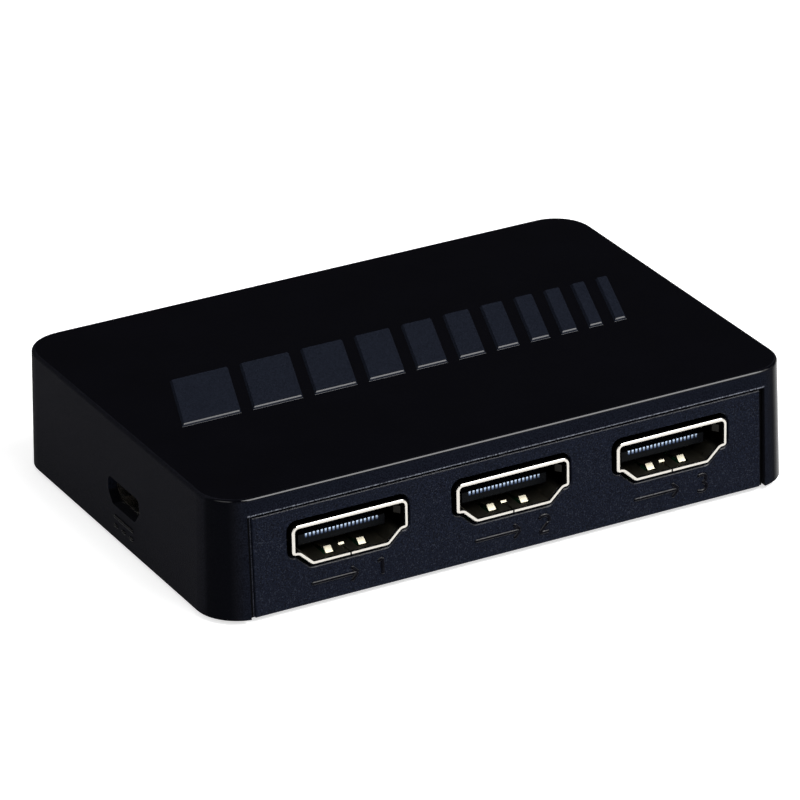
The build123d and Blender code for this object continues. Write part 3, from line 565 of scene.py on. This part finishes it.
mouth_distance = -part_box("input_socket_1_shell")[0].y
socket_steel = plated_metal("socket steel", PLAIN_STEEL, STEEL_ROUGHNESS, STEEL_GRAIN)
tongue_black = moulding_compound(
    "tongue black", TONGUE_DARK, TONGUE_LIGHT, TONGUE_ROUGHNESS, TONGUE_GLOSS
)
shell_plating_and_shade = shell_steel()
nose_plating_and_highlight = nose_tin()
for name in ("input_socket_1", "input_socket_2", "input_socket_3", "output_socket"):
    dress(shell_plating_and_shade, f"{name}_shell")
    dress(tongue_black, f"{name}_insulator")
    dress(nose_plating_and_highlight, f"{name}_contacts")
dress(socket_steel, "power_socket_shell")
dress(tongue_black, "power_socket_insulator")
dress(contact_tin, "power_socket_contacts")

# Select button and its push switch: satin black cap and plunger, a moulded switch body under
# a steel plate, and two terminals.

SATIN_GRAIN = 0.0001
SATIN_DEPTH = 0.000004
SATIN_TOUCH = 0.0016
SATIN_ROUGHNESS = (0.28, 0.4)
SATIN_GRAIN_ROUGHNESS = 0.05
SATIN_GLOSS = 0.2
SATIN_DARK = (0.011, 0.011, 0.013, 1)
SATIN_LIGHT = (0.017, 0.017, 0.019, 1)


def satin_moulding():
    """Satin black moulding, smoother than the panels and a little worn to a shine."""
    finish = Finish("satin moulding")
    grain = finish.noise(SATIN_GRAIN, 2.0)
    touch = finish.noise(SATIN_TOUCH, 2.0)
    return finish.surface(
        {
            "Base Color": finish.between(grain, SATIN_DARK, SATIN_LIGHT),
            "Roughness": finish.spread(touch, *SATIN_ROUGHNESS) + SATIN_GRAIN_ROUGHNESS * grain,
            "Specular IOR Level": SATIN_GLOSS,
            "Normal": finish.relief(grain, SATIN_DEPTH),
        }
    )


dress(satin_moulding(), "select_button", "switch_plunger")
dress(chip_black, "switch_body")
dress(socket_steel, "switch_cover")
dress(contact_tin, "switch_terminals")

# Snap dome: a thin sprung cap of stainless steel that stands on the floor of the switch and
# takes the place of the rigid one. It is drawn at rest: here it does not flatten under the plunger.

DOME_SHEET = 0.00008
DOME_RINGS = 12
DOME_SPOKES = 64


def dome_piece(name, low, high):
    """Closed cap that fills a box along Y, from its rim at the low end to its crown.

    A point at the radius r from the axis stands sqrt(ball^2 - r^2) - (ball - rise) above the
    rim's plane, and the inner face has the same centre and a ball smaller by the sheet.
    """
    rim = (high.x - low.x) / 2
    rise = high.y - low.y
    ball = (rim**2 + rise**2) / (2 * rise)
    drop = ball - rise
    inner_rim = math.sqrt((ball - DOME_SHEET) ** 2 - drop**2)
    share = np.sin(np.linspace(0, math.pi / 2, DOME_RINGS))[1:]
    outer = np.stack([rim * share, np.sqrt(ball**2 - (rim * share) ** 2) - drop], 1)
    lined = np.sqrt((ball - DOME_SHEET) ** 2 - (inner_rim * share) ** 2) - drop
    profile = np.concatenate([outer, np.stack([inner_rim * share, lined], 1)[::-1]])
    centre_x, centre_z = (low.x + high.x) / 2, (low.z + high.z) / 2
    turn = np.linspace(0, 2 * math.pi, DOME_SPOKES, endpoint=False)
    x = centre_x + profile[:, None, 0] * np.cos(turn)
    z = centre_z + profile[:, None, 0] * np.sin(turn)
    y = low.y + np.repeat(profile[:, 1:], DOME_SPOKES, axis=1)
    rings = np.stack([x, y, z], -1).reshape(-1, 3)
    crowns = [(centre_x, high.y, centre_z), (centre_x, high.y - DOME_SHEET, centre_z)]
    index = np.arange(len(rings)).reshape(-1, DOME_SPOKES)
    ahead = np.roll(index, -1, axis=1)
    faces = np.stack([index[:-1], ahead[:-1], ahead[1:], index[1:]], -1).reshape(-1, 4).tolist()
    crown = np.full(DOME_SPOKES, len(rings))
    faces += np.stack([crown, ahead[0], index[0]], 1).tolist()
    faces += np.stack([crown + 1, index[-1], ahead[-1]], 1).tolist()
    return new_piece(name, np.concatenate([rings, crowns]), faces)


dome_low, dome_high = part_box("switch_dome")
snap_dome = dome_piece("snap_dome", dome_low, dome_high)
snap_dome.data.materials.append(socket_steel)
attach(snap_dome, "housing")
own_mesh(snap_dome)
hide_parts("switch_dome")

# Light guide: clear acrylic prongs that carry the three indicator lamps to the rear panel.
# Their ends are frosted, so that the light spreads.

GUIDE_DARK = (0.78, 0.81, 0.83, 1)
GUIDE_LIGHT = (0.88, 0.9, 0.91, 1)
FLOW_SIZE = 0.0015
FROST_SIZE = 0.00012
FROST_DEPTH = 0.000004
FROST_ROUGHNESS = (0.3, 0.45)
ACRYLIC_CLEARNESS = 0.55
ACRYLIC_INDEX = 1.49


def clear_acrylic():
    """Milky acrylic with faint flow marks and a frosted face."""
    finish = Finish("clear acrylic")
    frost = finish.noise(FROST_SIZE, 2.0)
    return finish.surface(
        {
            "Base Color": finish.between(finish.noise(FLOW_SIZE, 2.0), GUIDE_DARK, GUIDE_LIGHT),
            "Roughness": finish.spread(frost, *FROST_ROUGHNESS),
            "Transmission Weight": ACRYLIC_CLEARNESS,
            "IOR": ACRYLIC_INDEX,
            "Normal": finish.relief(frost, FROST_DEPTH),
        }
    )


dress(clear_acrylic(), "light_guide")

# Top cover: one black moulding. The roof is polished to a mirror, the walls have a fine matt
# grain, and the row of slanted bars on the roof is etched to a grey matt face.

ORNAMENT_HEIGHT = 0.0003
BAR_FOOT = 0.00002
BAR_EDGE = 0.00015
BAR_EDGE_SHINE = 0.75
ROOF_BAND = 0.00006
WALL_START = 0.00026
HEADER_FOOT = 0.01315
HEADER_EDGE = 0.00026
LEVEL_LIMITS = (0.97, 0.99)
UPRIGHT_LIMITS = (0.97, 0.99)
FRONT_EDGE_LIMITS = (0.45, 0.6)
SHEEN_SIDE_LIMITS = (0.5, 0.95)
SHEEN_FRONT_LIMITS = (0.2, 0.4)
CORNER_START_LIMITS = (0.26, 0.38)
CORNER_END_LIMITS = (0.80, 0.94)
FRONT_LIMITS = (0.86, 0.97)
COVER_GRAIN = 0.00017
COVER_GRAIN_DEPTH = 0.00002
COVER_CLOUD = 0.006
ROOF_ROUGHNESS = (0.05, 0.1)
ROOF_GLOSS = 0.5
WALL_ROUGHNESS = (0.45, 0.7)
WALL_GLOSS = 0.006
ROOF_DARK = (0.001, 0.001, 0.002, 1)
ROOF_LIGHT = (0.0016, 0.0016, 0.0032, 1)
WALL_DARK = (0.0045, 0.0047, 0.0065, 1)
WALL_LIGHT = (0.0095, 0.0098, 0.0135, 1)
# Bluer colour for forward faces: painted light.
FRONT_LIT_DARK = (0.0028, 0.0033, 0.006, 1)
FRONT_LIT_LIGHT = (0.0092, 0.0112, 0.0185, 1)
# Painted shade round the corners:
CORNER_PAINTED_SHADE = (0.0025, 0.0027, 0.004, 1)
# Painted highlight on the foot of the header:
HEADER_HIGHLIGHT_DARK = (0.016, 0.018, 0.025, 1)
HEADER_HIGHLIGHT_LIGHT = (0.22, 0.235, 0.28, 1)
BAR_DARK = (0.0075, 0.009, 0.0145, 1)
BAR_LIGHT = (0.0145, 0.0175, 0.0275, 1)


def cover_wall_colour(finish, height, forward, grain):
    """Grey grain on the ends; painted light: bluer in front, shade round corners, highlight on
    header foot.
    """
    end_colour = finish.between(grain, WALL_DARK, WALL_LIGHT)
    # Painted light: forward faces take a bluer colour than the ends of the same moulding.
    front_lit_colour = finish.between(grain, FRONT_LIT_DARK, FRONT_LIT_LIGHT)
    plain = finish.between(finish.ramp(forward, *FRONT_LIMITS), end_colour, front_lit_colour)
    lengthways = finish.size_of(forward)
    # Painted shade: darker where the walls turn round the corners.
    corner = finish.ramp(lengthways, *CORNER_START_LIMITS)
    corner = corner * (1 - finish.ramp(lengthways, *CORNER_END_LIMITS))
    plain = finish.between(corner, plain, CORNER_PAINTED_SHADE)
    # Painted highlight: a pale band along the foot of the header's front face.
    foot = finish.band(height, HEADER_FOOT, HEADER_FOOT + HEADER_EDGE, ROOF_BAND)
    painted_header_highlight = foot * finish.ramp(forward, *UPRIGHT_LIMITS)
    return finish.between(painted_header_highlight, plain, finish.between(grain, HEADER_HIGHLIGHT_DARK, HEADER_HIGHLIGHT_LIGHT))


def cover_dull_share(finish, bars, height, sideways, forward, upward):
    """Where the cover isn't polished: walls, side and rear edges of the roof, and the bars.

    The roof's front edge, the sides that turn towards the front right and the upper half of
    the bars' front bevels stay polished.
    """
    wall_top = roof_height - WALL_START
    below_roof = 1 - finish.ramp(height, wall_top, wall_top + ROOF_BAND)
    front_edge = finish.ramp(forward, *FRONT_EDGE_LIMITS)
    sheen = finish.ramp(sideways, *SHEEN_SIDE_LIMITS) * finish.ramp(forward, *SHEEN_FRONT_LIMITS)
    roof_edges = (1 - below_roof) * (1 - finish.ramp(upward, *LEVEL_LIMITS)) * (1 - front_edge)
    walls = below_roof * (1 - sheen) + roof_edges
    bevel = finish.ramp(height, roof_height + BAR_EDGE, roof_height + BAR_EDGE + ROOF_BAND)
    shine = BAR_EDGE_SHINE * bevel * finish.broken_edge() * front_edge
    return (1 - bars) * walls + bars * (1 - shine)


def cover_moulding():
    """Polished roof and front edge, matt walls with painted light, matt grain on the bars."""
    finish = Finish("cover moulding")
    height = finish.part_of(finish.place(), "Z")
    normal = finish.facing()
    sideways = finish.part_of(normal, "X")
    forward = 0 - finish.part_of(normal, "Y")
    upward = finish.part_of(normal, "Z")
    bars = finish.ramp(height, roof_height + BAR_FOOT / 2, roof_height + BAR_FOOT)
    grain = finish.ramp(finish.noise(COVER_GRAIN, 2.0, 0.6), *GRAIN_LIMITS)
    cloud = finish.noise(COVER_CLOUD, 2.0)
    wall_colour = cover_wall_colour(finish, height, forward, grain)
    polished = {
        "Base Color": finish.between(cloud, ROOF_DARK, ROOF_LIGHT),
        "Roughness": finish.spread(cloud, *ROOF_ROUGHNESS),
        "Specular IOR Level": ROOF_GLOSS,
    }
    dull = {
        "Base Color": finish.between(bars, wall_colour, finish.between(grain, BAR_DARK, BAR_LIGHT)),
        "Roughness": finish.spread(grain, *WALL_ROUGHNESS),
        "Specular IOR Level": WALL_GLOSS,
        "Normal": finish.relief(grain, COVER_GRAIN_DEPTH),
    }
    share = cover_dull_share(finish, bars, height, sideways, forward, upward)
    return finish.two_surfaces(share, polished, dull)


cover_low, cover_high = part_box("top_cover")
roof_height = cover_high.z - ORNAMENT_HEIGHT
dress(cover_moulding(), "top_cover")

# Power sign: the plain mark for direct current under the power socket, a long stroke over
# three short ones, moulded in relief with the left wall.

POWER_SIGN_LENGTH = 0.0050
POWER_SIGN_SPLIT = 0.0011
POWER_SIGN_MIDDLE = 0.0023
POWER_DASH = 0.0010


def power_sign_paths():
    """The long stroke above the middle and three dashes below it, even with its ends."""
    half = POWER_SIGN_LENGTH / 2
    rise = POWER_SIGN_SPLIT / 2
    reach = POWER_DASH / 2
    dashes = [
        line_path((centre - reach, -rise), (centre + reach, -rise))
        for centre in (reach - half, 0, half - reach)
    ]
    return [line_path((-half, rise), (half, rise)), *dashes]


def left_ground(points):
    """Places on the sloping left wall, u towards the front and v up."""
    height = cover_low.z + POWER_SIGN_MIDDLE + points[:, 1]
    x = cover_low.x + (height - cover_low.z) * PANEL_SLOPE
    return np.stack([x - points[:, 2], power_middle - points[:, 0], height], 1)


power_low, power_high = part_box("power_socket_shell")
power_middle = (power_low.y + power_high.y) / 2
sign = ridge_piece("power_sign", power_sign_paths(), left_ground)
# Painted shade: the power sign takes the same darker sign colour.
sign.data.materials.append(sign_painted_shade)
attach(sign, "housing")

# Screws and feet: four zinc-plated case screws and two board screws, and four matt rubber
# feet pressed into round recesses of the tray.

SCREW_ZINC = (0.62, 0.63, 0.66, 1)
SCREW_GRAIN = 0.0003
SCREW_ROUGHNESS = (0.25, 0.45)
RUBBER_GRAIN = 0.00025
RUBBER_DEPTH = 0.00003
RUBBER_ROUGHNESS = (0.7, 0.9)
RUBBER_GLOSS = 0.3
RUBBER_DARK = (0.014, 0.014, 0.014, 1)
RUBBER_LIGHT = (0.03, 0.03, 0.031, 1)


def foot_rubber():
    """Matt black rubber with a dusty grain."""
    finish = Finish("foot rubber")
    grain = finish.noise(RUBBER_GRAIN, 3.0)
    return finish.surface(
        {
            "Base Color": finish.between(grain, RUBBER_DARK, RUBBER_LIGHT),
            "Roughness": finish.spread(grain, *RUBBER_ROUGHNESS),
            "Specular IOR Level": RUBBER_GLOSS,
            "Normal": finish.relief(grain, RUBBER_DEPTH),
        }
    )


screw_zinc = plated_metal("screw zinc", SCREW_ZINC, SCREW_ROUGHNESS, SCREW_GRAIN)
dress(screw_zinc, "case_screws", "board_screws")
dress(foot_rubber(), "rubber_feet")

# Table and backdrop: one pale sheet. It glows enough to reach white where the lamps light it,
# and its plain part keeps the soft shadow of the box.

FLOOR_HALF = 3.0
FLOOR_GLOW = 0.64
FLOOR_COLOUR = (0.86, 0.86, 0.86, 1)
WHITE = (1, 1, 1, 1)


def table_sheet():
    """Pale paper that also glows for the camera and in mirrors, so it is white in the picture."""
    finish = Finish("table sheet")
    glow = FLOOR_GLOW * finish.ray_kinds("Camera", "Glossy", "Transmission")
    paper = finish.node("ShaderNodeBsdfDiffuse", {}, {"Color": FLOOR_COLOUR})
    light = finish.node("ShaderNodeEmission", {}, {"Color": WHITE, "Strength": glow})
    return finish.close(finish.node("ShaderNodeAddShader", {}, {0: paper, 1: light}))


floor_corners = FLOOR_HALF * np.array([(-1, -1, 0), (1, -1, 0), (1, 1, 0), (-1, 1, 0)])
floor = new_piece("table", floor_corners, [(0, 1, 2, 3)])
floor.data.materials.append(table_sheet())

# Studio light: a dim even sky, white where the camera sees it, and for polished faces a low
# bright band in front and dark overhead and behind. Soft boxes stand above the front, at the
# left and at the right.

SKY_STRENGTH = 0.35
HORIZON_TOP = 0.16
DARK_START = 0.30
BAND_END = -0.1
BAND_START = 0.25
DARK_LIGHT = 0.015
LAMPS = {
    "soft box above": ((0.2, -0.3, 0.5), (0.5, 0.32), 3.1),
    "soft box left": ((-0.55, -0.25, 0.4), (0.5, 0.4), 0.9),
    "soft box right": ((0.5, -0.4, 0.45), (0.6, 0.4), 1.0),
}

world = bpy.data.worlds.new("studio")
bpy.context.scene.world = world
sky = Finish(world, "ShaderNodeOutputWorld")
direction = sky.node("ShaderNodeTexCoord", {}, {}, "Generated")
low_down = 1 - sky.ramp(sky.part_of(direction, "Z"), HORIZON_TOP, DARK_START)
in_front = sky.ramp(0 - sky.part_of(direction, "Y"), BAND_END, BAND_START)
mirror_light = DARK_LIGHT + (1 - DARK_LIGHT) * low_down * in_front
seen = sky.ray_kinds("Camera")
mirrored = sky.ray_kinds("Glossy", "Transmission")
strength = seen + mirrored * mirror_light + (1 - seen - mirrored) * SKY_STRENGTH
sky.close(sky.node("ShaderNodeBackground", {}, {"Color": WHITE, "Strength": strength}))

for name, (place, size, power) in LAMPS.items():
    lamp = bpy.data.lights.new(name, "AREA")
    lamp.shape = "RECTANGLE"
    lamp.size, lamp.size_y = size
    lamp.energy = power
    holder = bpy.data.objects.new(name, lamp)
    holder.location = place
    holder.rotation_euler = (-Vector(place)).to_track_quat("-Z", "Y").to_euler()
    bpy.context.scene.collection.objects.link(holder)

# Camera: a long lens above the front left corner, turned and rolled to the photograph's view.

CAMERA_AZIMUTH = math.radians(-27.829)
CAMERA_ELEVATION = math.radians(25.096)
CAMERA_ROLL = math.radians(-1.205)
CAMERA_DISTANCE = 0.672
CAMERA_RIGHT = -0.000572
CAMERA_UP = 0.007724
CAMERA_NEAR = 0.01
PIXELS_PER_METRE = 8469.0
IMAGE_SIZE = 800
SENSOR = 36.0

flat = math.cos(CAMERA_ELEVATION)
back = Vector(
    (math.sin(CAMERA_AZIMUTH) * flat, -math.cos(CAMERA_AZIMUTH) * flat, math.sin(CAMERA_ELEVATION))
)
level = Vector((0, 0, 1)).cross(back).normalized()
upright = back.cross(level)
right = math.cos(CAMERA_ROLL) * level + math.sin(CAMERA_ROLL) * upright
up = math.cos(CAMERA_ROLL) * upright - math.sin(CAMERA_ROLL) * level
base = Vector((0, 0, cover_low.z))
spot = base + CAMERA_RIGHT * right + CAMERA_UP * up + CAMERA_DISTANCE * back
camera_data = bpy.data.cameras.new("camera")
camera_data.sensor_fit = "HORIZONTAL"
camera_data.sensor_width = SENSOR
camera_data.lens = PIXELS_PER_METRE * CAMERA_DISTANCE / IMAGE_SIZE * SENSOR
camera_data.clip_start = CAMERA_NEAR
camera = bpy.data.objects.new("camera", camera_data)
rows = [(*row, place) for row, place in zip(zip(right, up, back), spot)]
camera.matrix_world = Matrix([*rows, (0, 0, 0, 1)])
bpy.context.scene.collection.objects.link(camera)
bpy.context.scene.camera = camera
bpy.context.scene.view_settings.view_transform = "Standard"
